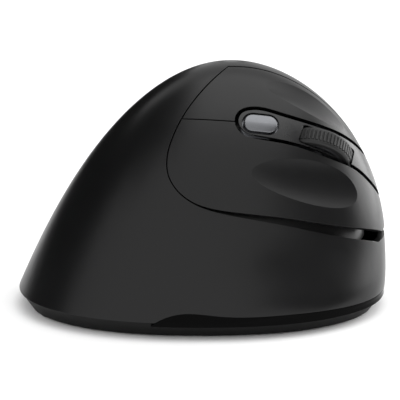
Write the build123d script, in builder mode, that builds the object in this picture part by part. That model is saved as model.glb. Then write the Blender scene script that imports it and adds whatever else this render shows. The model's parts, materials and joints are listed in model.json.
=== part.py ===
from build123d import *
import os
from math import copysign, cos, pi, radians, sin, sqrt

os.makedirs("parts", exist_ok=True)

# Right-handed vertical mouse. +Y points to the finger end, +X to the finger flank,
# +Z up. The origin lies on the desk, under the middle of the outline.

# Outer form
body_length = 120.0
body_width = 76.0
body_height = 78.5
rim_height = 5.8  # widest outline, where shell and base tray meet
crest_x = -11.0  # top of the dome, from the middle
crest_y = 9.7
base_taper = 3.4  # how far the tray's wall leans in towards the floor
base_gap = 0.6  # tray floor above the desk
finger_hollow = 3.4  # hollow for ring and little finger
thumb_hollow = 6.0

# Walls and clearances
shell_wall = 2.2
button_wall = 2.2
tray_wall = 2.2
floor_wall = 2.0
bed_depth = 7.0  # recessed bed under the main buttons
bed_wall = 1.8
seam = 0.35  # visible gap between moulded panels
rim_step = 0.25  # the tray stands back from the shell along their seam
groove_width = 1.2  # dark groove round the centre strip
fit_gap = 0.08  # sliding and running fits
press_gap = 0.4  # free travel behind every key
post_gap = 0.25  # between a push post and its switch
stem_gap = 0.6  # between the oval button's slanted stem and its switch

# Main buttons
ridge_x = -6.0  # seam along the ridge
ridge_gap = 0.35  # added to that seam, where a pressed button swings towards the shell
nose_lip = 26.0  # lower front edge of the buttons
lip_gap = 3.0  # open undercut below the lip at the front
pin_diameter = 1.8
pin_y = 3.0
lower_pin_t = (28.5, 47.5)  # both ends, up the flank
upper_pin_t = (53.4, 61.8)
pin_depth = 4.5
lug_width = 2.4
lower_dish = (36.3, 32.1, -6.0, 1.35, 112.0, 23.0)  # forward, up, turn, depth, long and cross radius
upper_dish = (34.0, 59.5, -23.0, 1.1, 90.0, 16.0)
lug_gap = 0.3
lug_wall = 0.8
post_diameter = 3.0

# Wheel
wheel_y = 40.5
wheel_t = 45.4
wheel_turn = -18.6
wheel_diameter = 24.0
wheel_width = 5.8
wheel_proud = 3.6
tread_depth = 2.4
rib_count = 60
tread_width = 3.4
shoulder = 1.0
rib_depth = 0.3
axle_diameter = 3.0
arm_width = 7.0
arm_wall = 1.6
arm_gap = 0.9
slot_gap = 0.35
encoder_size = 8.0
encoder_thickness = 3.6

# Resolution button in the strip
dpi_y = 18.6
dpi_t = 50.8
dpi_turn = -5.0
dpi_length = 10.6
dpi_dome = (42.0, 9.0)  # radius along the cap and across it
dpi_width = 5.7
dpi_ring = 0.65  # dark gap round the button
dpi_proud = 0.9
dpi_flange = 0.8
dpi_drop = 0.75  # the flange stays clear of the curved strip
dpi_stem = 3.0

# Thumb keys
thumb_z = 57.0
thumb_front_y = 17.0
thumb_back_y = -3.0
thumb_length = 17.0
thumb_width = 6.6
thumb_proud = 0.9
thumb_flange = 1.2
key_gap = 0.25

# Boards and switches
board_thickness = 1.6
board_depth = 18.2  # button board's outer face, along the flank's normal
board_y = (0.0, 23.8)
board_t = (28.0, 62.5)
key_switch = (12.8, 5.8, 6.5)
tact_size = 6.0
tact_height = 3.4
plunger_height = 0.6
lower_key_y = 17.5
lower_key_t = 33.0
upper_key_y = 16.5
upper_key_t = 59.5
thumb_board_x = -16.6
main_board_z = 7.0
main_board_size = (28.0, 58.0)
main_board_at = (10.0, -3.0)

# Power and battery
battery_diameter = 14.2
battery_length = 50.0
battery_x = -17.0
battery_y = 1.0
bay_wall = 1.5
bay_gap = 0.5
spring_length = 5.0
contact_wall = 0.4
nub_length = 1.0
door_length = 60.0
door_width = 18.0
door_wall = 1.2
barrel_diameter = 1.8
knob_length = 4.5
knob_width = 2.6
knob_travel = 2.5
knob_at = (14.0, -20.0)

# Sensor
sensor_at = (8.0, 8.0)
window_size = (9.0, 7.0)

# Base hardware
foot_thickness = 0.9
screw_diameter = 2.5
head_diameter = 4.6
head_height = 1.6
screw_length = 12.0
boss_diameter = 6.0
boss_base = 7.0
boss_top = 24.0
web_length = 16.0
web_wall = 1.6
screw_spots = [(-19, 37, 150), (22, 33, 40), (-13, -41, 225), (16, -42, 300)]
board_screw = 2.0
screw_reach = 5.0

# Gloss inlay along the right foot of the body
inlay_low = 4.6
inlay_gap = 0.1
inlay_top = [(-16.0, 5.0), (-12.0, 7.2), (-7.0, 8.6), (5.0, 8.1), (28.0, 7.7), (45.0, 7.4), (75.0, 6.2)]
inlay_end_x = -20.0

# Flank: the plane that the fingers rest on
flank_tilt = 28.0
flank = Plane(
    origin=(0, 0, 0),
    x_dir=(0, 1, 0),
    z_dir=(cos(radians(flank_tilt)), 0, sin(radians(flank_tilt))),
)
flank_near = 4.0  # depth range of the panel cuts along the flank's normal
flank_far = 70.0
front_edge = 80.0  # clear of the form
top_edge = 98.0

# Outlines in the flank plane, as (forward, up the flank)
panel_rear = [(8.5, 71.6), (-4.2, 56.5), (-9.4, 46.3), (-11.0, 40.1), (-10.6, 34.2), (-7.8, 29.2), (-3.0, 25.3)]
panel_lip = [(8.2, 22.2), (25.9, 20.4), (42.2, 18.9), (57.8, 19.7)]
strip_top = [(15.1, 56.5), (24.8, 55.0), (33.0, 52.9), (39.6, 51.3), (46.4, 49.3), (52.5, 46.2), (57.5, 42.0)]
strip_low = [(57.8, 31.9), (53.6, 34.9), (49.5, 37.6), (42.7, 39.9), (36.1, 41.9), (26.3, 44.3), (17.6, 45.7)]
strip_end = [(13.0, 47.2), (10.4, 51.4), (11.7, 55.0)]
button_split = [(-30, 54.4), (13, 51.3), (25, 49.5), (36, 46.4), (46, 43), (52, 39.2), (57, 35), (80, 10)]

# How the outline grows from crest to rim, on each side: u(1 + k(1-u) + m(1-u)^2)
growth = {"front": (1.28, -0.91), "rear": (0.10, -0.06), "right": (0.0, 0.0), "left": (0.35, 0.0)}
levels = [1, 0.93, 0.85, 0.75, 0.64, 0.52, 0.4, 0.28, 0.17, 0.08, 0.03]
outline_points = 20


def reach(u, side):
    k, m = growth[side]
    return u * (1 + k * (1 - u) + m * (1 - u) ** 2)


def extents(u):
    right = crest_x + (body_width / 2 - crest_x) * reach(u, "right")
    left = crest_x - (body_width / 2 + crest_x) * reach(u, "left")
    front = crest_y + (body_length / 2 - crest_y) * reach(u, "front")
    rear = crest_y - (body_length / 2 + crest_y) * reach(u, "rear")
    return right, left, front, rear


def level_height(u):
    return body_height * (1 - (1 - rim_height / body_height) * u * u)


def lean(u):
    """Outward and upward parts of the mean surface normal at a level."""
    step = 0.01
    inner, outer = extents(u - step), extents(u + step)
    rise = level_height(u - step) - level_height(u + step)
    run = (outer[0] - outer[1] + outer[2] - outer[3] - inner[0] + inner[1] - inner[2] + inner[3]) / 4
    size = sqrt(rise * rise + run * run)
    return rise / size, run / size


def bump(v, start, peak, end):
    """Smooth hill from 0 at start over 1 at peak to 0 at end."""
    if v <= start or v >= end:
        return 0.0
    t = (v - start) / (peak - start) if v < peak else (end - v) / (end - peak)
    return t * t * (3 - 2 * t)


def outline(u, inset=0.0, hollowed=False):
    """Height and points of one level of the form, moved in by inset."""
    right, left, front, rear = extents(u)
    out, up = lean(u)
    z = level_height(u) - inset * up
    power = 2 / (2.3 - 0.07 * u)
    points = []
    for i in range(outline_points):
        a = 2 * pi * i / outline_points
        x = copysign(abs(cos(a)) ** power, cos(a))
        y = copysign(abs(sin(a)) ** power, sin(a))
        half_x, half_y = (right - left) / 2 - inset * out, (front - rear) / 2 - inset * out
        px, py = (right + left) / 2 + half_x * x, (front + rear) / 2 + half_y * y
        if hollowed:
            turn = (i * 360 / outline_points + 90) % 360 - 90
            depth = finger_hollow * bump(turn, -35, 42, 100) * bump(z, 8, 26, 60)
            depth += thumb_hollow * bump(turn, 115, 180, 250) * bump(z, 10, 38, 70)
            size = sqrt(x * x + y * y)
            px, py = px - depth * x / size, py - depth * y / size
        points.append((px, py))
    return z, points


def closed_curve(points):
    """Smooth closed curve, with its points evenly spaced in its own measure."""
    spacing = [i / len(points) for i in range(len(points) + 1)]
    return Edge.make_spline([Vector(*p) for p in points], periodic=True, parameters=spacing)


def dome(inset=0.0, hollowed=False):
    """Solid dome of the outer form, or one moved in by inset."""
    with BuildPart() as solid:
        for u in levels:
            z, points = outline(u, inset, hollowed)
            with BuildSketch(Plane.XY.offset(z)):
                with BuildLine():
                    add(closed_curve(points))
                make_face()
        loft()
    return solid.part


def tray_form(inset=0.0, low=base_gap, high=rim_height):
    """Leaning wall of the base tray, between two heights."""
    right, left, front, rear = extents(1)
    power = 2 / 2.23
    with BuildPart() as solid:
        for z in (low, high):
            lean_in = inset + base_taper * (rim_height - z) / (rim_height - base_gap)
            half_x, half_y = (right - left) / 2 - lean_in, (front - rear) / 2 - lean_in
            points = []
            for i in range(outline_points):
                a = 2 * pi * i / outline_points
                x = copysign(abs(cos(a)) ** power, cos(a))
                y = copysign(abs(sin(a)) ** power, sin(a))
                points.append(((right + left) / 2 + half_x * x, (front + rear) / 2 + half_y * y))
            with BuildSketch(Plane.XY.offset(z)):
                with BuildLine():
                    add(closed_curve(points))
                make_face()
        loft()
    return solid.part


def inside(point, inset=0.0):
    """Whether a point lies in the outer form moved in by inset."""
    x, y, z = point
    low, high = levels[-1], 1.0
    for _ in range(30):
        u = (low + high) / 2
        if level_height(u) - inset * lean(u)[1] > z:
            low = u
        else:
            high = u
    right, left, front, rear = extents(u)
    out = inset * lean(u)[0]
    power = 2.3 - 0.07 * u
    over_x = abs((x - (right + left) / 2) / ((right - left) / 2 - out))
    over_y = abs((y - (front + rear) / 2) / ((front - rear) / 2 - out))
    return over_x**power + over_y**power < 1


def skin(y, t, inset=0.0):
    """Depth, along the flank's normal, at which the form stands over (y, t)."""
    low, high = flank_near, flank_far
    while high - low > 1e-4:
        middle = (low + high) / 2
        if inside(flank.from_local_coords(Vector(y, t, middle)), inset):
            low = middle
        else:
            high = middle
    return low


def skin_plane(y, t, turn=0.0):
    """Plane on the surface over (y, t), with its x along the flank, turned by an angle."""
    step = 0.5
    at = flank.from_local_coords(Vector(y, t, skin(y, t)))
    along = (flank.from_local_coords(Vector(y + step, t, skin(y + step, t))) - at).normalized()
    across = flank.from_local_coords(Vector(y, t + step, skin(y, t + step))) - at
    normal = along.cross(across).normalized()
    heading = along * cos(radians(turn)) + normal.cross(along) * sin(radians(turn))
    return Plane(origin=at, x_dir=heading, z_dir=normal)


def moved(points, distance):
    """Open run of points, moved to its left by a distance."""
    shifted = []
    for i, (y, t) in enumerate(points):
        before, after = points[max(i - 1, 0)], points[min(i + 1, len(points) - 1)]
        dy, dt = after[0] - before[0], after[1] - before[1]
        size = sqrt(dy * dy + dt * dt)
        shifted.append((y - distance * dt / size, t + distance * dy / size))
    return shifted


def panel_cut(grow, lip_drop=0.0, ridge_shift=0.0):
    """Prism over the main buttons, grown on every side and further at the lip and the ridge."""
    lip = [(y, t - lip_drop * max(0, y + 3) / 60) for y, t in panel_lip]
    points = moved(panel_rear + lip, -grow)
    with BuildPart() as cut:
        with BuildSketch(flank.offset(flank_near)):
            with BuildLine():
                edge = Spline(*points)
                far = [(front_edge, points[-1][1]), (front_edge, top_edge), (30, top_edge)]
                Polyline(edge @ 1, *far, edge @ 0)
            make_face()
        extrude(amount=flank_far - flank_near)
        with BuildSketch(Plane.XZ.offset(-front_edge)):
            with Locations((ridge_x - grow - ridge_shift, nose_lip - grow - lip_drop)):
                Rectangle(body_width, 2 * body_height, align=(Align.MIN, Align.MIN))
        extrude(amount=2 * front_edge, mode=Mode.INTERSECT)
    return cut.part


def strip_cut(shrink):
    """Prism over the centre strip, with its outline moved in."""
    points = moved(strip_low + strip_end + strip_top, -shrink)
    with BuildPart() as cut:
        with BuildSketch(flank.offset(flank_near)):
            with BuildLine():
                edge = Spline(*points)
                Polyline(edge @ 1, (front_edge, 20), (front_edge, 5), edge @ 0)
            make_face()
        extrude(amount=flank_far - flank_near)
    return cut.part


def above_split(shift):
    """Prism over everything above the split between the main buttons."""
    with BuildPart() as cut:
        with BuildSketch(flank.offset(flank_near)):
            with BuildLine():
                edge = [(y, t + shift) for y, t in button_split]
                Polyline(*edge, (front_edge, top_edge + 9), (-30, top_edge + 9), close=True)
            make_face()
        extrude(amount=flank_far - flank_near)
    return cut.part


def tube_cut(plane, profile_radius, start, length):
    """Cylinder along the plane's normal."""
    with BuildPart() as solid:
        with BuildSketch(plane.offset(start)):
            Circle(profile_radius)
        extrude(amount=length)
    return solid.part


# Main moulded forms
hull = dome(hollowed=True)
strip_groove = strip_cut(0)
with BuildPart() as button_layer:
    add(dome())
    add(dome(button_wall), mode=Mode.SUBTRACT)
    add(panel_cut(-seam / 2), mode=Mode.INTERSECT)

# Each main button hangs on its own hinge pin, along the rear of the panel
hinges = {}
for name, ends in (("lower_button", lower_pin_t), ("upper_button", upper_pin_t)):
    tips = [skin_plane(pin_y, t).origin - skin_plane(pin_y, t).z_dir * pin_depth for t in ends]
    out = skin_plane(pin_y, sum(ends) / 2).z_dir
    axis = tips[1] - tips[0]
    hinges[name] = Plane(origin=tips[0], x_dir=out.cross(axis), z_dir=axis), axis.length

with BuildPart() as lower_hinge_pin:
    add(tube_cut(hinges["lower_button"][0], pin_diameter / 2, 0, hinges["lower_button"][1]))
lower_hinge_pin.part.label = "lower_hinge_pin"
export_step(lower_hinge_pin.part, "parts/lower_hinge_pin.step")

with BuildPart() as upper_hinge_pin:
    add(tube_cut(hinges["upper_button"][0], pin_diameter / 2, 0, hinges["upper_button"][1]))
upper_hinge_pin.part.label = "upper_hinge_pin"
export_step(upper_hinge_pin.part, "parts/upper_hinge_pin.step")


def pin_bracket(name, moving):
    """Rings round a pin on legs: lugs out to the button, or posts down to the bed."""
    plane, length = hinges[name]
    if moving:
        height = pin_depth - button_wall / 2
        bore = pin_diameter + 2 * fit_gap
        spots = sorted({lug_width + lug_gap, length - 2 * lug_width - lug_gap})
    else:
        height = bed_depth + bed_wall / 2 - pin_depth
        bore = pin_diameter
        spots = [0, length - lug_width]
    with BuildPart() as rings:
        for spot in spots:
            with BuildSketch(plane.offset(spot)):
                Circle(pin_diameter / 2 + lug_wall)
                align = (Align.CENTER, Align.MIN if moving else Align.MAX)
                Rectangle(pin_diameter + 2 * lug_wall, height, align=align)
                Circle(bore / 2, mode=Mode.SUBTRACT)
            extrude(amount=lug_width)
    return rings.part


# Push posts reach through the bed to the switches on the button board
key_top = board_depth + key_switch[2] + plunger_height
key_spots = {"lower_button": (lower_key_y, lower_key_t), "upper_button": (upper_key_y, upper_key_t)}


def push_post(name):
    y, t = key_spots[name]
    at = Plane(origin=flank.from_local_coords(Vector(y, t, 0)), x_dir=flank.x_dir, z_dir=flank.z_dir)
    low = key_top + post_gap
    return tube_cut(at, post_diameter / 2, low, skin(y, t, button_wall / 2) - low)


def dome_ring(at, long_radius, cross_radius):
    """Fat ring whose outside is a dome that touches the plane's origin from below."""
    with BuildPart() as ring:
        with BuildSketch(Plane(origin=at.origin, x_dir=at.z_dir, z_dir=at.x_dir)):
            with Locations((-cross_radius, 0)):
                Circle(cross_radius)
        hub = at.origin - at.z_dir * long_radius
        revolve(axis=Axis(hub, at.y_dir))
    return ring.part


def dish(y, t, turn, depth, long_radius, cross_radius):
    """Saddle cutter for a finger dish: a fat ring that bends with the flank."""
    at = skin_plane(y, t, turn)
    with BuildPart() as cutter:
        ring = Plane(origin=at.origin, x_dir=at.z_dir, z_dir=at.x_dir)
        with BuildSketch(ring):
            with Locations((cross_radius - depth, 0)):
                Circle(cross_radius)
        hub = at.origin - at.z_dir * (long_radius + depth)
        revolve(axis=Axis(hub, at.y_dir))
    return cutter.part


with BuildPart() as upper_button:
    add(button_layer.part)
    add(above_split(seam / 2), mode=Mode.INTERSECT)
    add([strip_groove, dish(*upper_dish)], mode=Mode.SUBTRACT)
    add(pin_bracket("upper_button", True))
    add(push_post("upper_button"))
upper_button.part.label = "upper_button"
export_step(upper_button.part, "parts/upper_button.step")

with BuildPart() as lower_button:
    add(button_layer.part)
    add([above_split(-seam / 2), strip_groove, dish(*lower_dish)], mode=Mode.SUBTRACT)
    add(pin_bracket("lower_button", True))
    add(push_post("lower_button"))
lower_button.part.label = "lower_button"
export_step(lower_button.part, "parts/lower_button.step")

# Centre strip: a trim between the buttons, holed for the wheel and the resolution button
wheel_skin = skin_plane(wheel_y, wheel_t, wheel_turn)
wheel_sink = wheel_diameter / 2 - wheel_proud
wheel_hub_at = wheel_skin.offset(-wheel_sink)
axle_plane = Plane(origin=wheel_hub_at.origin, x_dir=wheel_skin.x_dir, z_dir=wheel_skin.y_dir)
with BuildPart() as wheel_space:
    with BuildSketch(axle_plane.offset(-wheel_width / 2 - slot_gap)):
        Circle(wheel_diameter / 2 + slot_gap)
    extrude(amount=wheel_width + 2 * slot_gap)
    fillet(wheel_space.edges().filter_by(GeomType.CIRCLE), shoulder)
dpi_skin = skin_plane(dpi_y, dpi_t, dpi_turn)
strip_leg_spots = [(27.0, 47.6), (53.4, 39.2)]
strip_leg = (1.4, 3.0)

with BuildPart() as centre_strip:
    add(button_layer.part)
    add(strip_cut(groove_width), mode=Mode.INTERSECT)
    with BuildSketch(dpi_skin.offset(-bed_depth)):
        SlotOverall(dpi_length + 2 * dpi_ring, dpi_width + 2 * dpi_ring)
    extrude(amount=2 * bed_depth, mode=Mode.SUBTRACT)
    for spot in strip_leg_spots:
        with BuildSketch(skin_plane(*spot, wheel_turn).offset(-bed_depth + 0.05)):
            Rectangle(*strip_leg)
        extrude(amount=bed_depth - button_wall / 2)
    add(wheel_space.part, mode=Mode.SUBTRACT)
centre_strip.part.label = "centre_strip"
export_step(centre_strip.part, "parts/centre_strip.step")

# Resolution button: a plated oval cap on a stem, with a flange under the strip
tact_top = board_depth + tact_height + plunger_height
stem_length = (dpi_skin.origin.dot(flank.z_dir) - tact_top - stem_gap) / dpi_skin.z_dir.dot(flank.z_dir)
with BuildPart() as dpi_button:
    with BuildSketch(dpi_skin.offset(-button_wall - dpi_drop - dpi_flange)):
        SlotOverall(dpi_length + 2 * dpi_ring + 1.2, dpi_width + 2 * dpi_ring + 0.8)
    extrude(amount=dpi_flange)
    with BuildSketch(dpi_skin.offset(-button_wall - dpi_drop)):
        SlotOverall(dpi_length, dpi_width)
    extrude(amount=button_wall + dpi_drop + dpi_proud)
    add(dome_ring(dpi_skin.offset(dpi_proud), *dpi_dome), mode=Mode.INTERSECT)
    fillet(dpi_button.faces().filter_by(GeomType.TORUS).edges(), 0.4)
    add(tube_cut(dpi_skin, dpi_stem / 2, -stem_length, stem_length - button_wall))
dpi_button.part.label = "dpi_button"
export_step(dpi_button.part, "parts/dpi_button.step")

# Scroll wheel: a hub on an axle, with a ribbed rubber tyre
hub_radius = wheel_diameter / 2 - tread_depth
arm_reach = wheel_width / 2 + arm_gap + arm_wall
with BuildPart() as wheel_hub:
    with BuildSketch(axle_plane.offset(-wheel_width / 2 + 0.5)):
        Circle(hub_radius)
    extrude(amount=wheel_width - 1)
    for side in (wheel_width / 2 - 0.5, -0.8 - (wheel_width / 2 - 1.3)):
        with BuildSketch(axle_plane.offset(side if side < 0 else 0.8)):
            Circle(hub_radius - 1.4)
            Circle(axle_diameter / 2 + 1.2, mode=Mode.SUBTRACT)
        extrude(amount=wheel_width / 2 - 1.3, mode=Mode.SUBTRACT)
    with BuildSketch(axle_plane.offset(-arm_reach)):
        Circle(axle_diameter / 2)
    extrude(amount=2 * arm_reach + encoder_thickness / 2)
wheel_hub.part.label = "wheel_hub"
export_step(wheel_hub.part, "parts/wheel_hub.step")

with BuildPart() as wheel_tyre:
    with BuildSketch(axle_plane.offset(-tread_width / 2)):
        with BuildLine():
            rim = []
            for i in range(rib_count):
                for turn, depth in ((0.0, 0), (0.5, 0), (0.65, rib_depth), (0.85, rib_depth)):
                    a = 2 * pi * (i + turn) / rib_count
                    rim.append(((wheel_diameter / 2 - depth) * cos(a), (wheel_diameter / 2 - depth) * sin(a)))
            Polyline(*rim, close=True)
        make_face()
        Circle(hub_radius, mode=Mode.SUBTRACT)
    extrude(amount=tread_width)
    for side in (-1, 1):
        with BuildSketch(axle_plane.offset(side * tread_width / 2)):
            Circle(wheel_diameter / 2 - rib_depth)
            Circle(hub_radius, mode=Mode.SUBTRACT)
        extrude(amount=side * (wheel_width - tread_width) / 2)
    axle_line = Axis(axle_plane.origin, axle_plane.z_dir)
    rims = wheel_tyre.edges().filter_by(GeomType.CIRCLE).group_by(SortBy.RADIUS)[-1]
    fillet(rims.group_by(axle_line)[0], shoulder)
    far_rims = wheel_tyre.edges().filter_by(GeomType.CIRCLE).group_by(axle_line)[-1]
    fillet(far_rims.group_by(SortBy.RADIUS)[-1], shoulder)
wheel_tyre.part.label = "wheel_tyre"
export_step(wheel_tyre.part, "parts/wheel_tyre.step")

# Wheel carrier: a yoke under the wheel that sinks when the wheel is clicked
bridge_y = wheel_diameter / 2 + arm_gap
bridge_wall = 1.8
with BuildPart() as wheel_carrier:
    for start in (-arm_reach, arm_reach - arm_wall):
        with BuildSketch(axle_plane.offset(start)):
            Circle(axle_diameter / 2 + 1.7)
            Rectangle(arm_width, bridge_y + bridge_wall, align=(Align.CENTER, Align.MIN))
            Circle(axle_diameter / 2 + fit_gap, mode=Mode.SUBTRACT)
        extrude(amount=arm_wall)
    with BuildSketch(axle_plane.offset(-arm_reach)):
        with Locations((0, bridge_y)):
            Rectangle(arm_width, bridge_wall, align=(Align.CENTER, Align.MIN))
    extrude(amount=2 * arm_reach)
wheel_carrier.part.label = "wheel_carrier"
export_step(wheel_carrier.part, "parts/wheel_carrier.step")

with BuildPart() as wheel_encoder:
    with BuildSketch(axle_plane.offset(arm_reach)):
        RectangleRounded(encoder_size, encoder_size, 0.8)
        Circle(axle_diameter / 2 + fit_gap, mode=Mode.SUBTRACT)
    extrude(amount=encoder_thickness)
wheel_encoder.part.label = "wheel_encoder"
export_step(wheel_encoder.part, "parts/wheel_encoder.step")

# Wheel bracket: two cheeks hang from the bed and carry the click switch
cheek_wall = 1.4
cheek_length = 8.5
plate_y = bridge_y + bridge_wall + press_gap + plunger_height + tact_height
low_cheek = -(arm_reach + fit_gap + cheek_wall)
high_cheek = arm_reach + encoder_thickness + fit_gap
with BuildPart() as wheel_bracket:
    for start in (low_cheek, high_cheek):
        with BuildSketch(axle_plane.offset(start)):
            with Locations((0, -2)):
                Rectangle(cheek_length, plate_y + 2 + arm_wall, align=(Align.CENTER, Align.MIN))
        extrude(amount=cheek_wall)
    with BuildSketch(axle_plane.offset(low_cheek)):
        with Locations((0, plate_y)):
            Rectangle(cheek_length, arm_wall, align=(Align.CENTER, Align.MIN))
    extrude(amount=high_cheek + cheek_wall - low_cheek)
    add(dome(bed_depth + bed_wall + 0.05), mode=Mode.INTERSECT)
wheel_bracket.part.label = "wheel_bracket"
export_step(wheel_bracket.part, "parts/wheel_bracket.step")


def tact_switch(plane):
    """Small square push switch standing on a plane."""
    with BuildPart() as switch:
        with BuildSketch(plane):
            RectangleRounded(tact_size, tact_size, 0.4)
        extrude(amount=tact_height)
        with BuildSketch(plane.offset(tact_height)):
            Circle(1.7)
        extrude(amount=plunger_height)
    return switch.part


def micro_switch(plane):
    """Lever-less micro switch standing on a plane."""
    with BuildPart() as switch:
        with BuildSketch(plane):
            Rectangle(key_switch[0], key_switch[1])
        extrude(amount=key_switch[2])
        chamfer(switch.edges().filter_by(Axis(plane.origin, plane.z_dir)), 0.4)
        with BuildSketch(plane.offset(key_switch[2])):
            SlotOverall(2.6, 1.4)
        extrude(amount=plunger_height)
    return switch.part


def on_board(y, t, depth=board_depth):
    """Plane over (y, t) at a depth along the flank's normal."""
    at = flank.from_local_coords(Vector(y, t, depth))
    return Plane(origin=at, x_dir=flank.x_dir, z_dir=flank.z_dir)


with BuildPart() as wheel_switch:
    lift = Plane(
        origin=axle_plane.origin + axle_plane.y_dir * plate_y,
        x_dir=axle_plane.x_dir,
        z_dir=axle_plane.y_dir * -1,
    )
    add(tact_switch(lift))
wheel_switch.part.label = "wheel_switch"
export_step(wheel_switch.part, "parts/wheel_switch.step")

with BuildPart() as lower_key_switch:
    add(micro_switch(on_board(lower_key_y, lower_key_t)))
lower_key_switch.part.label = "lower_key_switch"
export_step(lower_key_switch.part, "parts/lower_key_switch.step")

with BuildPart() as upper_key_switch:
    add(micro_switch(on_board(upper_key_y, upper_key_t)))
upper_key_switch.part.label = "upper_key_switch"
export_step(upper_key_switch.part, "parts/upper_key_switch.step")

stem_foot = flank.to_local_coords(dpi_skin.origin - dpi_skin.z_dir * stem_length)
with BuildPart() as dpi_switch:
    add(tact_switch(on_board(stem_foot.X, stem_foot.Y)))
dpi_switch.part.label = "dpi_switch"
export_step(dpi_switch.part, "parts/dpi_switch.step")

# Button board, hung from four posts under the bed
board_inset = 3.4
board_posts = [
    (board_y[0] + board_inset, board_t[0] + board_inset),
    (board_y[0] + board_inset, board_t[1] - 5.0),
    (board_y[1] - board_inset, stem_foot.Y - 9.0),
]
with BuildPart() as button_board:
    with BuildSketch(flank.offset(board_depth - board_thickness)):
        with Locations((sum(board_y) / 2, sum(board_t) / 2)):
            RectangleRounded(board_y[1] - board_y[0], board_t[1] - board_t[0], 1.5)
        with Locations(*board_posts):
            Circle(board_screw / 2 + fit_gap, mode=Mode.SUBTRACT)
    extrude(amount=board_thickness)
button_board.part.label = "button_board"
export_step(button_board.part, "parts/button_board.step")

# Thumb keys: two short bars over the thumb rest
thumb_inner = dome(shell_wall + press_gap + 1.2, hollowed=True)


def thumb_bars(grow):
    """Two bars along -X, from inside the shell out past the skin."""
    with BuildPart() as bars:
        for y in (thumb_back_y, thumb_front_y):
            with BuildSketch(Plane(origin=(-8, y, thumb_z), x_dir=(0, -1, 0.12), z_dir=(-1, 0, 0))):
                SlotOverall(thumb_length + 2 * grow, thumb_width + 2 * grow)
            extrude(amount=body_width / 2)
    return bars.part


with BuildPart() as thumb_flanges:
    add(thumb_bars(thumb_flange))
    add(dome(shell_wall + 0.3, hollowed=True), mode=Mode.INTERSECT)
with BuildPart() as thumb_keys:
    add(thumb_bars(0))
    add(dome(-thumb_proud, hollowed=True), mode=Mode.INTERSECT)
    add(thumb_flanges.part)
    add(thumb_inner, mode=Mode.SUBTRACT)

with BuildPart() as forward_key:
    add(thumb_keys.solids().sort_by(Axis.Y)[-1])
forward_key.part.label = "forward_key"
export_step(forward_key.part, "parts/forward_key.step")

with BuildPart() as back_key:
    add(thumb_keys.solids().sort_by(Axis.Y)[0])
back_key.part.label = "back_key"
export_step(back_key.part, "parts/back_key.step")

# Thumb board stands behind the keys on two pegs of the shell
thumb_board_y = (thumb_back_y - thumb_length / 2 - 5.8, thumb_front_y + thumb_length / 2 + 5.8)
thumb_pegs = [(thumb_board_y[0] + 2.1, thumb_z), (thumb_board_y[1] - 2.1, thumb_z)]
thumb_peg_planes = [
    Plane(origin=(thumb_board_x, y, z), x_dir=(0, 1, 0), z_dir=(-1, 0, 0)) for y, z in thumb_pegs
]
with BuildPart() as thumb_board:
    with BuildSketch(Plane.YZ.offset(thumb_board_x)):
        with Locations((sum(thumb_board_y) / 2, thumb_z)):
            Rectangle(thumb_board_y[1] - thumb_board_y[0], thumb_width + 3)
        with Locations(*thumb_pegs):
            Circle(board_screw / 2 + fit_gap, mode=Mode.SUBTRACT)
    extrude(amount=board_thickness)
thumb_board.part.label = "thumb_board"
export_step(thumb_board.part, "parts/thumb_board.step")

with BuildPart() as thumb_switches:
    for y in (thumb_back_y, thumb_front_y):
        add(tact_switch(Plane(origin=(thumb_board_x, y, thumb_z), x_dir=(0, 1, 0), z_dir=(-1, 0, 0))))
thumb_switches.part.label = "thumb_switches"
export_step(thumb_switches.part, "parts/thumb_switches.step")

# Shell: dome walls, the recessed bed under the buttons, bosses, pegs and posts
with BuildPart() as bed_block:
    add(panel_cut(3.0))
    add(dome(bed_depth + bed_wall), mode=Mode.SUBTRACT)
with BuildPart() as cavity:
    add(dome(shell_wall, hollowed=True))
    add(bed_block.part, mode=Mode.SUBTRACT)
with BuildPart() as recess:
    add(panel_cut(seam / 2, lip_gap, ridge_gap))
    add(dome(bed_depth), mode=Mode.SUBTRACT)
with BuildPart() as shell_ribs:
    for x, y, turn in screw_spots:
        heading = (cos(radians(turn)), sin(radians(turn)), 0)
        at = Plane(origin=(x, y, boss_base), x_dir=heading, z_dir=(0, 0, 1))
        with BuildSketch(at):
            Rectangle(web_length, web_wall, align=(Align.MIN, Align.CENTER))
            Circle(boss_diameter / 2)
        extrude(amount=boss_top - boss_base)
    for at in thumb_peg_planes:
        with BuildSketch(at):
            Circle(2.2)
        extrude(amount=body_width / 2)
    add(dome(shell_wall / 2, hollowed=True), mode=Mode.INTERSECT)


def inlay_cut(gap):
    """Prism from the flank side over the gloss inlay."""
    with BuildPart() as cut:
        with BuildSketch(Plane.YZ.offset(inlay_end_x + gap)):
            with BuildLine():
                edge = Spline(*moved(inlay_top, -gap))
                Polyline(edge @ 1, (inlay_top[-1][0], inlay_low), (inlay_top[0][0], inlay_low), edge @ 0)
            make_face()
        extrude(amount=body_width)
    return cut.part


inlay_space = inlay_cut(0)
shell_adds = [pin_bracket(name, False) for name in hinges]
shell_cuts = [
    tube_cut(dpi_skin, dpi_stem / 2 + fit_gap, -bed_depth - bed_wall - 1, bed_wall + 3),
    thumb_bars(key_gap),
]
for y, t in board_posts:
    top = (skin(y, t, bed_depth) + skin(y, t, bed_depth + bed_wall)) / 2
    shell_adds.append(tube_cut(on_board(y, t), post_diameter, 0, top - board_depth))
    shell_cuts.append(tube_cut(on_board(y, t), board_screw / 2, 0, screw_reach))
for name, (y, t) in key_spots.items():
    low = skin(y, t, bed_depth + bed_wall) - 2
    shell_cuts.append(tube_cut(on_board(y, t, low), post_diameter / 2 + 0.8, 0, bed_wall + 3.5))
for at in thumb_peg_planes:
    shell_cuts.append(tube_cut(at, board_screw / 2, 0, screw_reach))
for x, y, _ in screw_spots:
    shell_cuts.append(tube_cut(Plane((x, y, boss_base)), screw_diameter / 2, 0, 10))
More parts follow.
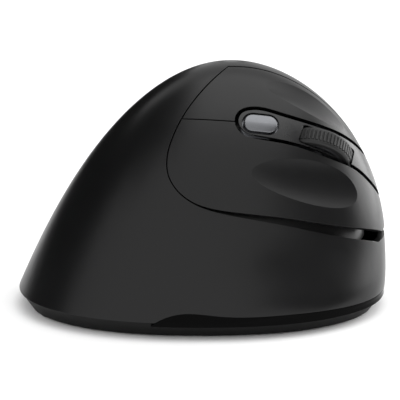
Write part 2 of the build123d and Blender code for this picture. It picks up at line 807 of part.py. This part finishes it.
with BuildPart() as wheel_well:
    with BuildSketch(axle_plane.offset(-arm_reach - slot_gap)):
        with Locations((0.6, 0)):
            Rectangle(wheel_diameter + 1.6, 2 * (bed_wall + 3.4))
    extrude(amount=2 * arm_reach + encoder_thickness + 2 * slot_gap)

with BuildPart() as shell_wall_form:
    add(hull)
    add([cavity.part, recess.part], mode=Mode.SUBTRACT)
with BuildPart() as main_shell:
    add(shell_wall_form.part)
    add([shell_ribs.part, *shell_adds])
    add([wheel_well.part, inlay_space, *shell_cuts], mode=Mode.SUBTRACT)
main_shell.part.label = "main_shell"
export_step(main_shell.part, "parts/main_shell.step")

# Base tray: floor, leaning wall, battery bay, stands and pockets
floor_top = base_gap + floor_wall
bay_width = battery_diameter + 2 * bay_gap
bay_rear = battery_y - battery_length / 2 - spring_length
bay_front = battery_y + battery_length / 2 + contact_wall
bay_height = 8.0
stand_inset = 2.6  # centre of a stand, in from the board's edges
board_stands = [
    (
        main_board_at[0] + sx * (main_board_size[0] / 2 - stand_inset),
        main_board_at[1] + sy * (main_board_size[1] / 2 - stand_inset),
    )
    for sx in (-1, 1) for sy in (-1, 1)
]
door_front = bay_front + 3.2
door_rear = door_front - door_length
barrel_z = base_gap + barrel_diameter / 2
knob_rear_y = knob_at[1] - knob_travel / 2
feet = [  # centre, length, width, turn
    (2.0, 46.5, 26.0, 8.0, 0),
    (3.0, -48.0, 28.0, 8.0, 0),
    (27.5, 4.0, 20.0, 5.0, 90),
    (-30.2, 2.0, 18.0, 4.0, 90),
]


def foot_pads(grow, low, high):
    with BuildPart() as pads:
        for x, y, length, width, turn in feet:
            at = Plane(origin=(x, y, low), x_dir=(cos(radians(turn)), sin(radians(turn)), 0), z_dir=(0, 0, 1))
            with BuildSketch(at):
                SlotOverall(length + 2 * grow, width + 2 * grow)
            extrude(amount=high - low)
    return pads.part


with BuildPart() as base_tray:
    add(tray_form(rim_step))
    add(tray_form(tray_wall, floor_top, rim_height + 1), mode=Mode.SUBTRACT)
    with BuildSketch(Plane.XY.offset(floor_top - 0.5)):
        with Locations((battery_x, (bay_front + bay_rear) / 2)):
            Rectangle(bay_width + 2 * bay_wall, bay_front - bay_rear + 2 * bay_wall)
    extrude(amount=bay_height)
    with BuildSketch(Plane.XY.offset(floor_top)):
        with Locations((battery_x, (bay_front + bay_rear) / 2)):
            Rectangle(bay_width, bay_front - bay_rear)
    extrude(amount=bay_height, mode=Mode.SUBTRACT)
    with BuildSketch(Plane.XY.offset(base_gap)):
        with Locations((battery_x, battery_y)):
            Rectangle(bay_width, battery_length + 1)
    extrude(amount=floor_wall, mode=Mode.SUBTRACT)
    with BuildSketch(Plane.XY.offset(base_gap)):
        with Locations((battery_x, (door_front + door_rear) / 2)):
            Rectangle(door_width + 2 * key_gap, door_length + 2 * key_gap)
    extrude(amount=door_wall + fit_gap, mode=Mode.SUBTRACT)
    with BuildSketch(Plane.XY.offset(floor_top - 0.5)):
        with Locations((battery_x, door_front)):
            Rectangle(door_width + 4, 2 * barrel_diameter)
    extrude(amount=1.5)
    with BuildSketch(Plane.YZ.offset(battery_x - door_width / 2 - key_gap)):
        with Locations((door_front, barrel_z)):
            Circle(barrel_diameter / 2 + fit_gap + 0.02)
            Rectangle(barrel_diameter + 2 * fit_gap + 0.04, barrel_diameter, align=(Align.CENTER, Align.MAX))
    extrude(amount=door_width + 2 * key_gap, mode=Mode.SUBTRACT)
    for x, y, _ in screw_spots:
        with BuildSketch(Plane.XY.offset(floor_top - 0.5)):
            with Locations((x, y)):
                Circle(boss_diameter / 2 + 0.6)
        extrude(amount=boss_base - floor_top + 0.5)
    with BuildSketch(Plane.XY.offset(floor_top - 0.5)):
        with Locations(*board_stands):
            Circle(2.4)
    extrude(amount=main_board_z - floor_top + 0.5)
    with BuildSketch(Plane.XY.offset(main_board_z)):
        with Locations(*board_stands):
            Circle(board_screw / 2)
    extrude(amount=-4.0, mode=Mode.SUBTRACT)
    for x, y, _ in screw_spots:
        with BuildSketch(Plane.XY.offset(base_gap)):
            with Locations((x, y)):
                Circle(head_diameter / 2 + 0.3)
        extrude(amount=floor_wall + 0.6, mode=Mode.SUBTRACT)
        with BuildSketch(Plane.XY.offset(base_gap)):
            with Locations((x, y)):
                Circle(screw_diameter / 2 + fit_gap)
        extrude(amount=boss_base - base_gap, mode=Mode.SUBTRACT)
    with BuildSketch(Plane.XY.offset(base_gap)):
        with Locations(sensor_at):
            RectangleRounded(*window_size, 1.5)
        with Locations(knob_at):
            Rectangle(knob_width + 2 * fit_gap, knob_length + knob_travel + 2 * fit_gap)
    extrude(amount=floor_wall, mode=Mode.SUBTRACT)
    add([foot_pads(fit_gap, base_gap, foot_thickness), inlay_space], mode=Mode.SUBTRACT)
base_tray.part.label = "base_tray"
export_step(base_tray.part, "parts/base_tray.step")

with BuildPart() as gloss_inlay:
    add(shell_wall_form.part)
    add(inlay_cut(inlay_gap), mode=Mode.INTERSECT)
    with BuildSketch(Plane.XY.offset(rim_height)):
        with BuildLine():
            add(closed_curve(outline(1)[1]))
        make_face()
        with BuildLine():
            add(closed_curve(outline(1, tray_wall)[1]))
        make_face(mode=Mode.SUBTRACT)
    extrude(amount=inlay_low - rim_height)
    add(inlay_cut(inlay_gap), mode=Mode.INTERSECT)
gloss_inlay.part.label = "gloss_inlay"
export_step(gloss_inlay.part, "parts/gloss_inlay.step")

with BuildPart() as glide_feet:
    add(foot_pads(0, 0, foot_thickness))
glide_feet.part.label = "glide_feet"
export_step(glide_feet.part, "parts/glide_feet.step")

with BuildPart() as case_screws:
    for x, y, _ in screw_spots:
        with BuildSketch(Plane.XY.offset(base_gap + floor_wall + 0.6 - head_height)):
            with Locations((x, y)):
                Circle(head_diameter / 2)
        extrude(amount=head_height)
        with BuildSketch(Plane.XY.offset(base_gap + floor_wall + 0.6)):
            with Locations((x, y)):
                Circle(screw_diameter / 2)
        extrude(amount=screw_length)
case_screws.part.label = "case_screws"
export_step(case_screws.part, "parts/case_screws.step")

with BuildPart() as battery_door:
    with BuildSketch(Plane.XY.offset(base_gap)):
        with Locations((battery_x, door_rear)):
            Rectangle(door_width, door_length, align=(Align.CENTER, Align.MIN))
        with Locations((battery_x, door_rear)):
            Circle(3.5, mode=Mode.SUBTRACT)
    extrude(amount=door_wall)
    with BuildSketch(Plane.XY.offset(base_gap + door_wall)):
        with Locations((battery_x, battery_y - 0.5)):
            Rectangle(bay_width - 2 * key_gap, battery_length - 2)
            Rectangle(bay_width - 2 * key_gap - 2, battery_length - 4, mode=Mode.SUBTRACT)
    extrude(amount=floor_wall - door_wall - 0.1)
    with BuildSketch(Plane.YZ.offset(battery_x - door_width / 2)):
        with Locations((door_front, barrel_z)):
            Circle(barrel_diameter / 2)
    extrude(amount=door_width)
battery_door.part.label = "battery_door"
export_step(battery_door.part, "parts/battery_door.step")

battery_z = floor_top + 0.3 + battery_diameter / 2
with BuildPart() as battery:
    with BuildSketch(Plane.XZ.offset(-(battery_y - battery_length / 2))):
        with Locations((battery_x, battery_z)):
            Circle(battery_diameter / 2)
    extrude(amount=-(battery_length - nub_length))
    fillet(battery.edges().filter_by(GeomType.CIRCLE), 0.6)
    with BuildSketch(Plane.XZ.offset(-(battery_y + battery_length / 2 - nub_length))):
        with Locations((battery_x, battery_z)):
            Circle(2.75)
    extrude(amount=-nub_length)
battery.part.label = "battery"
export_step(battery.part, "parts/battery.step")

with BuildPart() as battery_contact:
    with BuildSketch(Plane.XZ.offset(-(bay_front - contact_wall))):
        with Locations((battery_x, battery_z)):
            RectangleRounded(10, 8, 1)
    extrude(amount=-contact_wall)
battery_contact.part.label = "battery_contact"
export_step(battery_contact.part, "parts/battery_contact.step")

wire = 0.6
with BuildPart() as battery_spring:
    with BuildLine():
        coil = Helix(
            pitch=(spring_length - wire) / 3.5,
            height=spring_length - wire,
            radius=3.2,
            center=(battery_x, bay_rear + wire / 2, battery_z),
            direction=(0, 1, 0),
        )
    with BuildSketch(Plane(origin=coil @ 0, z_dir=coil % 0)):
        Circle(wire / 2)
    sweep()
battery_spring.part.label = "battery_spring"
export_step(battery_spring.part, "parts/battery_spring.step")

# Main board with the sensor, its lens and the power switch
with BuildPart() as lower_board:
    with BuildSketch(Plane.XY.offset(main_board_z)):
        with Locations(main_board_at):
            RectangleRounded(*main_board_size, 1.5)
        with Locations(*board_stands):
            Circle(board_screw / 2 + fit_gap, mode=Mode.SUBTRACT)
        with Locations(sensor_at):
            Rectangle(5, 5, mode=Mode.SUBTRACT)
    extrude(amount=board_thickness)
lower_board.part.label = "main_board"
export_step(lower_board.part, "parts/main_board.step")

with BuildPart() as sensor_chip:
    with BuildSketch(Plane.XY.offset(main_board_z + board_thickness)):
        with Locations(sensor_at):
            RectangleRounded(9.9, 9.0, 0.4)
    extrude(amount=2.2)
sensor_chip.part.label = "sensor_chip"
export_step(sensor_chip.part, "parts/sensor_chip.step")

with BuildPart() as sensor_lens:
    with BuildSketch(Plane.XY.offset(floor_top)):
        with Locations(sensor_at):
            RectangleRounded(window_size[0] + 5, window_size[1] + 5, 1.5)
    extrude(amount=1.4)
    with BuildSketch(Plane.XY.offset(base_gap + 0.8)):
        with Locations(sensor_at):
            RectangleRounded(window_size[0] - 0.6, window_size[1] - 0.6, 1.3)
    extrude(amount=floor_wall - 0.8)
    with BuildSketch(Plane.XY.offset(floor_top)):
        with Locations(sensor_at):
            Circle(2.0)
    extrude(amount=main_board_z + board_thickness - floor_top)
sensor_lens.part.label = "sensor_lens"
export_step(sensor_lens.part, "parts/sensor_lens.step")

switch_low = floor_top + fit_gap + 1.2
with BuildPart() as power_switch:
    with BuildSketch(Plane.XY.offset(switch_low)):
        with Locations(knob_at):
            Rectangle(5.0, 9.0)
            Rectangle(1.6, knob_travel + 2.0, mode=Mode.SUBTRACT)
    extrude(amount=main_board_z - switch_low)
power_switch.part.label = "power_switch"
export_step(power_switch.part, "parts/power_switch.step")

with BuildPart() as power_knob:
    with BuildSketch(Plane.XY.offset(base_gap + 0.4)):
        with Locations((knob_at[0], knob_rear_y)):
            Rectangle(knob_width, knob_length)
            with GridLocations(0, 1.2, 1, 3):
                Rectangle(knob_width, 0.5, mode=Mode.SUBTRACT)
    extrude(amount=0.4)
    with BuildSketch(Plane.XY.offset(base_gap + 0.8)):
        with Locations((knob_at[0], knob_rear_y)):
            Rectangle(knob_width, knob_length)
    extrude(amount=floor_wall - 0.8 + fit_gap)
    with BuildSketch(Plane.XY.offset(floor_top + fit_gap)):
        with Locations((knob_at[0], knob_rear_y)):
            Rectangle(knob_width + 2, knob_length + knob_travel + 1.5)
    extrude(amount=1.0)
    with BuildSketch(Plane.XY.offset(floor_top + fit_gap + 1.0)):
        with Locations((knob_at[0], knob_rear_y)):
            Rectangle(1.2, 1.6)
    extrude(amount=1.8)
power_knob.part.label = "power_knob"
export_step(power_knob.part, "parts/power_knob.step")

# Small screws of the three boards
with BuildPart() as board_screws:
    spots = [Plane((x, y, main_board_z + board_thickness)) for x, y in board_stands]
    for y, t in board_posts:
        outer = on_board(y, t, board_depth - board_thickness)
        spots.append(Plane(origin=outer.origin, x_dir=outer.x_dir, z_dir=outer.z_dir * -1))
    for peg in thumb_peg_planes:
        outer = peg.origin - peg.z_dir * board_thickness
        spots.append(Plane(origin=outer, x_dir=peg.x_dir, z_dir=peg.z_dir * -1))
    for at in spots:
        with BuildSketch(at):
            Circle(board_screw)
        extrude(amount=1.3)
        with BuildSketch(at):
            Circle(board_screw / 2)
        extrude(amount=-board_thickness - 3.5)
board_screws.part.label = "board_screws"
export_step(board_screws.part, "parts/board_screws.step")

# Flat cable from the main board up to the button board
plug_size = (9.0, 3.0, 2.4)
main_plug_at = (0.0, 12.0)
button_plug = on_board(12.0, 36.0, board_depth - board_thickness)
with BuildPart() as main_plug:
    with BuildSketch(Plane.XY.offset(main_board_z + board_thickness)):
        with Locations(main_plug_at):
            Rectangle(plug_size[1], plug_size[0])
    extrude(amount=plug_size[2])
main_plug.part.label = "main_plug"
export_step(main_plug.part, "parts/main_plug.step")

with BuildPart() as cable_plug:
    with BuildSketch(button_plug):
        Rectangle(plug_size[0], plug_size[1])
    extrude(amount=-plug_size[2])
cable_plug.part.label = "button_plug"
export_step(cable_plug.part, "parts/button_plug.step")

ribbon = (8.0, 0.5)
start = Vector(*main_plug_at, main_board_z + board_thickness + plug_size[2])
end = button_plug.origin - button_plug.z_dir * plug_size[2]
with BuildPart() as ribbon_cable:
    with BuildLine():
        route = FilletPolyline(
            start, start + Vector(0, 0, 14), end - button_plug.z_dir * 10, end, radius=5.0
        )
    with BuildSketch(Plane(origin=route @ 0, x_dir=(0, 1, 0), z_dir=(0, 0, 1))):
        Rectangle(*ribbon)
    sweep()
ribbon_cable.part.label = "ribbon_cable"
export_step(ribbon_cable.part, "parts/ribbon_cable.step")
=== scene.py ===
import json
import math

import bpy
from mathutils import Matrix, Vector

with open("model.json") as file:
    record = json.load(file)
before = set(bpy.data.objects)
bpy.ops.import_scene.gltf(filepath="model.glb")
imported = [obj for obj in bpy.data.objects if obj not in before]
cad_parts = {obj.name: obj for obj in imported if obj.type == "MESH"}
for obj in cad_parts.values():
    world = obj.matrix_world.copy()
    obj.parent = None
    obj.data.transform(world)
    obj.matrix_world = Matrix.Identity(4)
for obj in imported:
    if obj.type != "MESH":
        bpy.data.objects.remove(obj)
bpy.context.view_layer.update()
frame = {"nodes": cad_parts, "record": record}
nodes = frame["nodes"]
print("frame loaded:", len(nodes), "nodes")


def linearColour(hexCode):
    parts = [int(hexCode[i:i + 2], 16) / 255 for i in (1, 3, 5)]
    return [c / 12.92 if c <= 0.04045 else ((c + 0.055) / 1.055) ** 2.4 for c in parts] + [1.0]


def addNode(tree, kind, settings=None, links=None):
    # settings: input or property and its value; links: input and the output that feeds it
    made = tree.nodes.new(kind)
    for name, value in (settings or {}).items():
        if isinstance(name, int) or name in made.inputs:
            made.inputs[name].default_value = value
        else:
            setattr(made, name, value)
    for name, source in (links or {}).items():
        tree.links.new(source, made.inputs[name])
    return made


# Camera: the photograph's angle, with a long lens a little above the desk
cameraSet = {
    "azimuth": 90.0, "elevation": 17.45, "distance": 0.70, "aim": (0.0, -0.0006, 0.0346),
    "lens": 193.5, "sensor": 36, "nearClip": 0.02,
}
eye = bpy.data.cameras.new("camera")
eye.lens = cameraSet["lens"]
eye.sensor_width = cameraSet["sensor"]
eye.clip_start = cameraSet["nearClip"]
cameraObject = bpy.data.objects.new("camera", eye)
bpy.context.collection.objects.link(cameraObject)
turn, rise = math.radians(cameraSet["azimuth"]), math.radians(cameraSet["elevation"])
outward = Vector((math.sin(turn) * math.cos(rise), -math.cos(turn) * math.cos(rise), math.sin(rise)))
cameraObject.location = Vector(cameraSet["aim"]) + outward * cameraSet["distance"]
cameraObject.rotation_mode = "QUATERNION"
cameraObject.rotation_quaternion = (-outward).to_track_quat("-Z", "Y")
bpy.context.scene.camera = cameraObject
print("camera placed")

# Every plastic here has a moulded or painted grain, a slow change of sheen and rounded edges.
# patch is the size of the slow changes, grain the spacing of the fine relief and depth its height, edge the
# radius that the light sees on each edge, all in millimetres. The grains are drawn coarse enough to show.
softTouch = {  # soft-touch paint over ABS: dark, wide sheen without a sharp highlight, very fine grain
    "name": "softTouchPaintOnAbs", "colour": "#0b0b0b", "second": "#0e0e0f", "patch": 26.0,
    "roughness": (0.28, 0.34), "grain": 0.35, "depth": 0.008, "edge": 0.30, "ior": 1.40,
}
softTouchKeys = dict(softTouch, name="softTouchPaintOnKeys", colour="#0c0c0c", grain=0.30, edge=0.22)
satinTrim = {  # satin ABS: a little smoother than the paint, so its edges catch a thin light line
    "name": "satinMouldedAbs", "colour": "#0b0b0c", "second": "#0e0e0f", "patch": 12.0,
    "roughness": (0.24, 0.32), "grain": 0.25, "depth": 0.008, "edge": 0.20, "ior": 1.5,
}
sparkedBase = {  # spark-eroded ABS: dull and dark with a coarse even grain
    "name": "sparkErodedAbs", "colour": "#070707", "second": "#0a0a0a", "patch": 18.0,
    "roughness": (0.50, 0.62), "grain": 0.55, "depth": 0.030, "edge": 0.20, "ior": 1.4,
    "specular": 0.25,
}
pianoBlack = {  # lacquer over polished ABS: nearly black, with sharp but weak reflections and a faint ripple
    "name": "pianoBlackLacquer", "colour": "#060606", "second": "#080808", "patch": 9.0,
    "roughness": (0.05, 0.09), "grain": 6.0, "depth": 0.010, "edge": 0.20, "ior": 1.34,
    "specular": 0.06,
}
wheelRubber = {  # moulded silicone rubber: dull, with a dusty sheen on its ribs
    "name": "mouldedRubber", "colour": "#0a0a0a", "second": "#101010", "patch": 5.0,
    "roughness": (0.48, 0.60), "grain": 0.30, "depth": 0.015, "edge": 0.12, "ior": 1.5,
}
acetal = {  # moulded acetal: waxy dark grey
    "name": "mouldedAcetal", "colour": "#3a3a3c", "second": "#414144", "patch": 8.0,
    "roughness": (0.30, 0.40), "grain": 0.6, "depth": 0.008, "edge": 0.15, "ior": 1.48,
}
switchPbt = {  # glass-filled PBT: dull, slightly mottled
    "name": "glassFilledPbt", "colour": "#2c2c2e", "second": "#343437", "patch": 3.0,
    "roughness": (0.42, 0.52), "grain": 0.4, "depth": 0.015, "edge": 0.12, "ior": 1.57,
}
plugNylon = {  # natural nylon: cream, slightly glossy
    "name": "naturalNylon", "colour": "#e0d9c4", "second": "#d8d0b8", "patch": 4.0,
    "roughness": (0.30, 0.42), "grain": 0.5, "depth": 0.008, "edge": 0.12, "ior": 1.53,
}
chipEpoxy = {  # moulded epoxy: matt black with a fine blast
    "name": "mouldedEpoxy", "colour": "#18181a", "second": "#1f1f21", "patch": 2.0,
    "roughness": (0.50, 0.60), "grain": 0.25, "depth": 0.012, "edge": 0.08, "ior": 1.55,
}
glidePtfe = {  # skived PTFE: grey-black and waxy, with a slow mottle
    "name": "skivedPtfe", "colour": "#2b2b2d", "second": "#333336", "patch": 7.0,
    "roughness": (0.34, 0.50), "grain": 0.5, "depth": 0.010, "edge": 0.25, "ior": 1.38,
}
flatCable = {  # flat cable: white polyester over tinned copper
    "name": "polyesterFlatCable", "colour": "#d9d9d4", "second": "#c9c9c4", "patch": 5.0,
    "roughness": (0.28, 0.36), "grain": 1.0, "depth": 0.010, "edge": 0.05, "ior": 1.6,
}
batterySleeve = {  # shrunk plastic sleeve over a steel can: smooth, blue-grey
    "name": "shrinkSleeve", "colour": "#5a6a74", "second": "#55656f", "patch": 20.0,
    "roughness": (0.18, 0.26), "grain": 4.0, "depth": 0.010, "edge": 0.2, "ior": 1.5,
}
solderMask = {  # solder mask over glass laminate: green and glossy, with a faint uneven relief
    "name": "solderMaskOnLaminate", "colour": "#1a5a30", "second": "#16502a", "patch": 3.0,
    "roughness": (0.22, 0.32), "grain": 0.7, "depth": 0.012, "edge": 0.05, "ior": 1.54,
}


def emptyMaterial(name):
    material = bpy.data.materials.new(name)
    material.use_nodes = True
    material.node_tree.nodes.clear()
    return material, material.node_tree


def plasticFinish(spec):
    # moulded or painted plastic: two close tones in slow patches, grain in relief, softened edges
    material, tree = emptyMaterial(spec["name"])
    place = addNode(tree, "ShaderNodeTexCoord")
    patches = addNode(tree, "ShaderNodeTexNoise",
                      {"Scale": 1000 / spec["patch"], "Detail": 3.0, "Roughness": 0.55},
                      {"Vector": place.outputs["Object"]})
    shade = addNode(tree, "ShaderNodeMix", {"data_type": "RGBA"}, {"Factor": patches.outputs["Fac"]})
    shade.inputs[6].default_value = linearColour(spec["colour"])
    shade.inputs[7].default_value = linearColour(spec["second"])
    grain = addNode(tree, "ShaderNodeTexNoise",
                    {"Scale": 1000 / spec["grain"], "Detail": 2.0, "Roughness": 0.6},
                    {"Vector": place.outputs["Object"]})
    rounded = addNode(tree, "ShaderNodeBevel", {"samples": 4, "Radius": spec["edge"] / 1000})
    relief = addNode(tree, "ShaderNodeBump", {"Strength": 1.0, "Distance": spec["depth"] / 1000},
                     {"Height": grain.outputs["Fac"], "Normal": rounded.outputs["Normal"]})
    sheen = addNode(tree, "ShaderNodeMapRange",
                    {"From Min": 0.3, "From Max": 0.7,
                     "To Min": spec["roughness"][0], "To Max": spec["roughness"][1]},
                    {"Value": patches.outputs["Fac"]})
    surface = addNode(tree, "ShaderNodeBsdfPrincipled",
                      {"IOR": spec["ior"], "Specular IOR Level": spec.get("specular", 0.5)},
                      {"Base Color": shade.outputs[2], "Roughness": sheen.outputs["Result"],
                       "Normal": relief.outputs["Normal"]})
    addNode(tree, "ShaderNodeOutputMaterial", {}, {"Surface": surface.outputs["BSDF"]})
    return material


# The metals: haze is the spacing of the polishing marks, marks their height, edge as above, in millimetres
chromePlate = {  # satin chrome over moulded plastic: soft grey bands that follow the dome
    "name": "satinChromePlate", "colour": "#737477", "roughness": (0.26, 0.34),
    "haze": 3.0, "marks": 0.004, "edge": 0.2,
}
zincSteel = {  # zinc-plated steel: pale, slightly cloudy
    "name": "zincPlatedSteel", "colour": "#b9babd", "roughness": (0.26, 0.36),
    "haze": 1.2, "marks": 0.004, "edge": 0.2,
}
nickelSteel = {  # nickel-plated spring steel: warm grey with a close sheen
    "name": "nickelPlatedSpringSteel", "colour": "#c6c2b8", "roughness": (0.20, 0.28),
    "haze": 1.0, "marks": 0.004, "edge": 0.2,
}


def metalFinish(spec):
    # plated metal: clean colour, sheen that changes slowly with the polish, hair-fine marks
    material, tree = emptyMaterial(spec["name"])
    place = addNode(tree, "ShaderNodeTexCoord")
    haze = addNode(tree, "ShaderNodeTexNoise", {"Scale": 1000 / spec["haze"], "Detail": 4.0},
                   {"Vector": place.outputs["Object"]})
    sheen = addNode(tree, "ShaderNodeMapRange",
                    {"From Min": 0.3, "From Max": 0.7,
                     "To Min": spec["roughness"][0], "To Max": spec["roughness"][1]},
                    {"Value": haze.outputs["Fac"]})
    rounded = addNode(tree, "ShaderNodeBevel", {"samples": 4, "Radius": spec["edge"] / 1000})
    marks = addNode(tree, "ShaderNodeBump", {"Strength": 0.5, "Distance": spec["marks"] / 1000},
                    {"Height": haze.outputs["Fac"], "Normal": rounded.outputs["Normal"]})
    surface = addNode(tree, "ShaderNodeBsdfPrincipled",
                      {"Base Color": linearColour(spec["colour"]), "Metallic": 1.0},
                      {"Roughness": sheen.outputs["Result"], "Normal": marks.outputs["Normal"]})
    addNode(tree, "ShaderNodeOutputMaterial", {}, {"Surface": surface.outputs["BSDF"]})
    return material


lensPlastic = {  # flow is the spacing of the faint flow marks, in millimetres
    "name": "clearPolycarbonate", "colour": "#e6ebef", "roughness": (0.03, 0.08), "ior": 1.58,
    "clearness": 0.9, "flow": 2.5,
}


def clearFinish(spec):
    # clear moulded polycarbonate: smoky window with faint flow marks
    material, tree = emptyMaterial(spec["name"])
    place = addNode(tree, "ShaderNodeTexCoord")
    flow = addNode(tree, "ShaderNodeTexNoise", {"Scale": 1000 / spec["flow"], "Detail": 2.0},
                   {"Vector": place.outputs["Object"]})
    sheen = addNode(tree, "ShaderNodeMapRange",
                    {"To Min": spec["roughness"][0], "To Max": spec["roughness"][1]},
                    {"Value": flow.outputs["Fac"]})
    surface = addNode(tree, "ShaderNodeBsdfPrincipled",
                      {"Base Color": linearColour(spec["colour"]), "IOR": spec["ior"],
                       "Transmission Weight": spec["clearness"]},
                      {"Roughness": sheen.outputs["Result"]})
    addNode(tree, "ShaderNodeOutputMaterial", {}, {"Surface": surface.outputs["BSDF"]})
    return material


finishes = {
    "soft_touch": plasticFinish(softTouch), "soft_touch_button": plasticFinish(softTouchKeys),
    "trim": plasticFinish(satinTrim), "base_abs": plasticFinish(sparkedBase),
    "gloss_black": plasticFinish(pianoBlack), "plated": metalFinish(chromePlate),
    "wheel_rubber": plasticFinish(wheelRubber), "inner_plastic": plasticFinish(acetal),
    "switch_plastic": plasticFinish(switchPbt), "circuit_board": plasticFinish(solderMask),
    "plug_plastic": plasticFinish(plugNylon), "clear_lens": clearFinish(lensPlastic),
    "chip": plasticFinish(chipEpoxy), "ptfe": plasticFinish(glidePtfe), "screw_steel": metalFinish(zincSteel),
    "spring_steel": metalFinish(nickelSteel), "battery_wrap": plasticFinish(batterySleeve),
    "ribbon": plasticFinish(flatCable),
}
for entry in frame["record"]["subparts"]:
    piece, finish = nodes[entry["node"]], finishes[entry["material_slot"]]
    if not piece.material_slots:
        piece.data.materials.append(finish)
    for slot in piece.material_slots:
        slot.material = finish
print("finishes set:", len(finishes))


def mattSheet(name, width, height, finishName, colour, roughness, gloss):
    # flat sheet of paper or felt, face up, that belongs to the studio and not to the mouse
    halfWidth, halfHeight = width / 2, height / 2
    mesh = bpy.data.meshes.new(name)
    corners = [(-halfWidth, -halfHeight, 0), (halfWidth, -halfHeight, 0),
               (halfWidth, halfHeight, 0), (-halfWidth, halfHeight, 0)]
    mesh.from_pydata(corners, [], [(0, 1, 2, 3)])
    material = bpy.data.materials.new(finishName)
    material.use_nodes = True
    cloth = material.node_tree.nodes["Principled BSDF"]
    cloth.inputs["Base Color"].default_value = linearColour(colour)
    cloth.inputs["Roughness"].default_value = roughness
    cloth.inputs["Specular IOR Level"].default_value = gloss
    mesh.materials.append(material)
    sheet = bpy.data.objects.new(name, mesh)
    bpy.context.collection.objects.link(sheet)
    return sheet


# Desk and surround: white paper, lit evenly from all round
deskSet = {"side": 12.0, "colour": "#fbfbfb", "roughness": 0.9, "gloss": 0.1}
mattSheet("desk", deskSet["side"], deskSet["side"], "whiteStudioPaper",
          deskSet["colour"], deskSet["roughness"], deskSet["gloss"])

surround = {"seen": 1.0, "light": 1.0}  # what the camera, gloss and glass meet, and what lights the mouse
world = bpy.data.worlds.new("studio")
bpy.context.scene.world = world
world.use_nodes = True
air = world.node_tree
air.nodes.clear()
ray = addNode(air, "ShaderNodeLightPath")
seen = addNode(air, "ShaderNodeMath", {"operation": "MAXIMUM"},
               {0: ray.outputs["Is Camera Ray"], 1: ray.outputs["Is Glossy Ray"]})
clear = addNode(air, "ShaderNodeMath", {"operation": "MAXIMUM"},
                {0: seen.outputs[0], 1: ray.outputs["Is Transmission Ray"]})
level = addNode(air, "ShaderNodeMapRange", {"To Min": surround["light"], "To Max": surround["seen"]},
                {"Value": clear.outputs[0]})
glow = addNode(air, "ShaderNodeBackground", {"Color": (1, 1, 1, 1)}, {"Strength": level.outputs["Result"]})
addNode(air, "ShaderNodeOutputWorld", {}, {"Surface": glow.outputs[0]})


mouseMiddle = Vector((0, 0, 0.035))


def facing(azimuth, elevation, distance):
    # a place round the mouse, counted from the camera's side, and the turn that faces it
    swing, lift = math.radians(azimuth), math.radians(elevation)
    out = Vector((math.cos(swing) * math.cos(lift), math.sin(swing) * math.cos(lift), math.sin(lift)))
    return mouseMiddle + out * distance, (-out).to_track_quat("-Z", "Z")


# Soft lamps: a large one overhead, and one at the right that gives the nose its pale rim
softboxes = {  # azimuth, elevation, distance, width, height, brightness beside the white surround
    "overheadBox": (60, 78, 0.75, 0.75, 0.75, 1.15),
    "rightStrip": (114, 16, 0.50, 0.46, 0.34, 3.4),
}
for name, (azimuth, elevation, distance, width, height, bright) in softboxes.items():
    lamp = bpy.data.lights.new(name, "AREA")
    lamp.shape = "RECTANGLE"
    lamp.size, lamp.size_y = width, height
    lamp.energy = bright * math.pi * width * height
    stand = bpy.data.objects.new(name, lamp)
    stand.rotation_mode = "QUATERNION"
    stand.location, stand.rotation_quaternion = facing(azimuth, elevation, distance)
    bpy.context.collection.objects.link(stand)

# Black and grey flags, out of view, cut the white surround into the light and dark bands of the photograph
flags = {  # azimuth, elevation, distance, width, height, colour
    "flagLeft": (-97, 16, 0.45, 0.52, 0.46, "#050505"),
    "flagHighLeft": (-78, 56, 0.48, 0.46, 0.22, "#050505"),
    "flagRearLeft": (-146, 12, 0.50, 0.42, 0.44, "#101010"),
    "flagFrontRight": (50, 26, 0.45, 0.34, 0.34, "#5c5c5c"),
    "flagLowRight": (64, 4, 0.42, 0.24, 0.16, "#2c2c2c"),
}
for name, (azimuth, elevation, distance, width, height, colour) in flags.items():
    flag = mattSheet(name, width, height, name + "Felt", colour, 1.0, 0.0)
    flag.rotation_mode = "QUATERNION"
    flag.location, flag.rotation_quaternion = facing(azimuth, elevation, distance)
    flag.visible_camera = False
    flag.visible_shadow = False
    flag.visible_diffuse = False
print("studio lit")

bpy.context.scene.view_settings.view_transform = "Standard"
